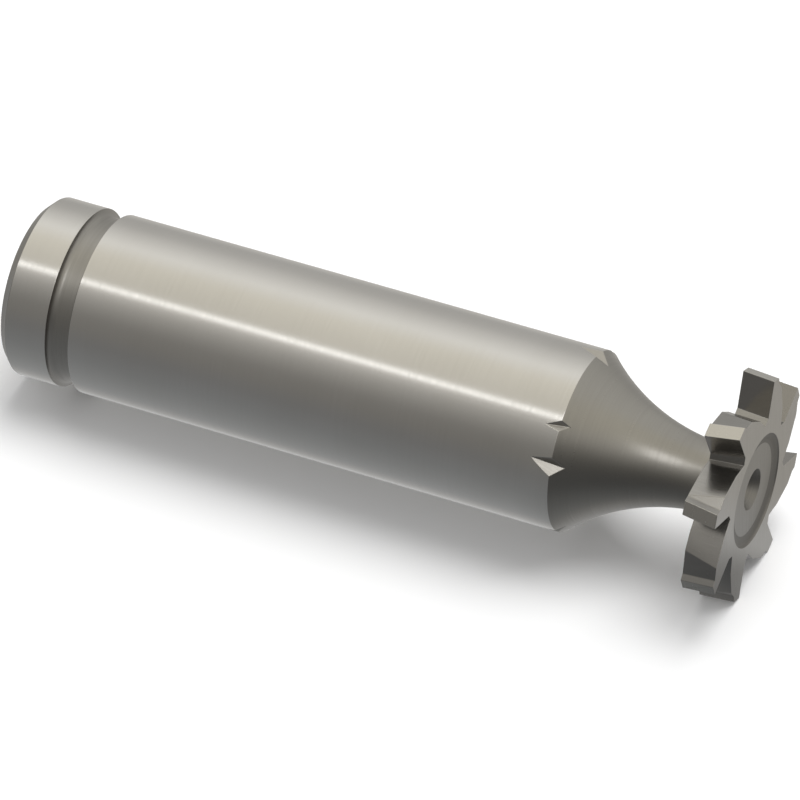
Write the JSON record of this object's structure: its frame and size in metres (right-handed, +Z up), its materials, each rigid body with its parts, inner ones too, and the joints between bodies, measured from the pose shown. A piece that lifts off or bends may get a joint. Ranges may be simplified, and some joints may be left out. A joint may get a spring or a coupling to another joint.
{
  "type": "woodruff keyseat cutter",
  "caption": "Keyseat cutter with a thin staggered-tooth head on a waisted neck and a straight round shank with a groove near its back end.",
  "frame": {"origin": "centre of the bounding box's footprint, on the surface that the cutter lies on", "axes": "+X runs from the shank's back end towards the toothed head; the cutter's own axis rises from the surface by 1.25 degrees towards the head; +Z is up"},
  "size_m": [0.0538, 0.015, 0.015],
  "materials": {
    "ground_steel": "bright ground steel with fine circular grinding marks, a little darker in the gashes and the groove"
  },
  "bodies": {
    "root": {"keyseat_cutter": "ground_steel"}
  },
  "joints": []
}
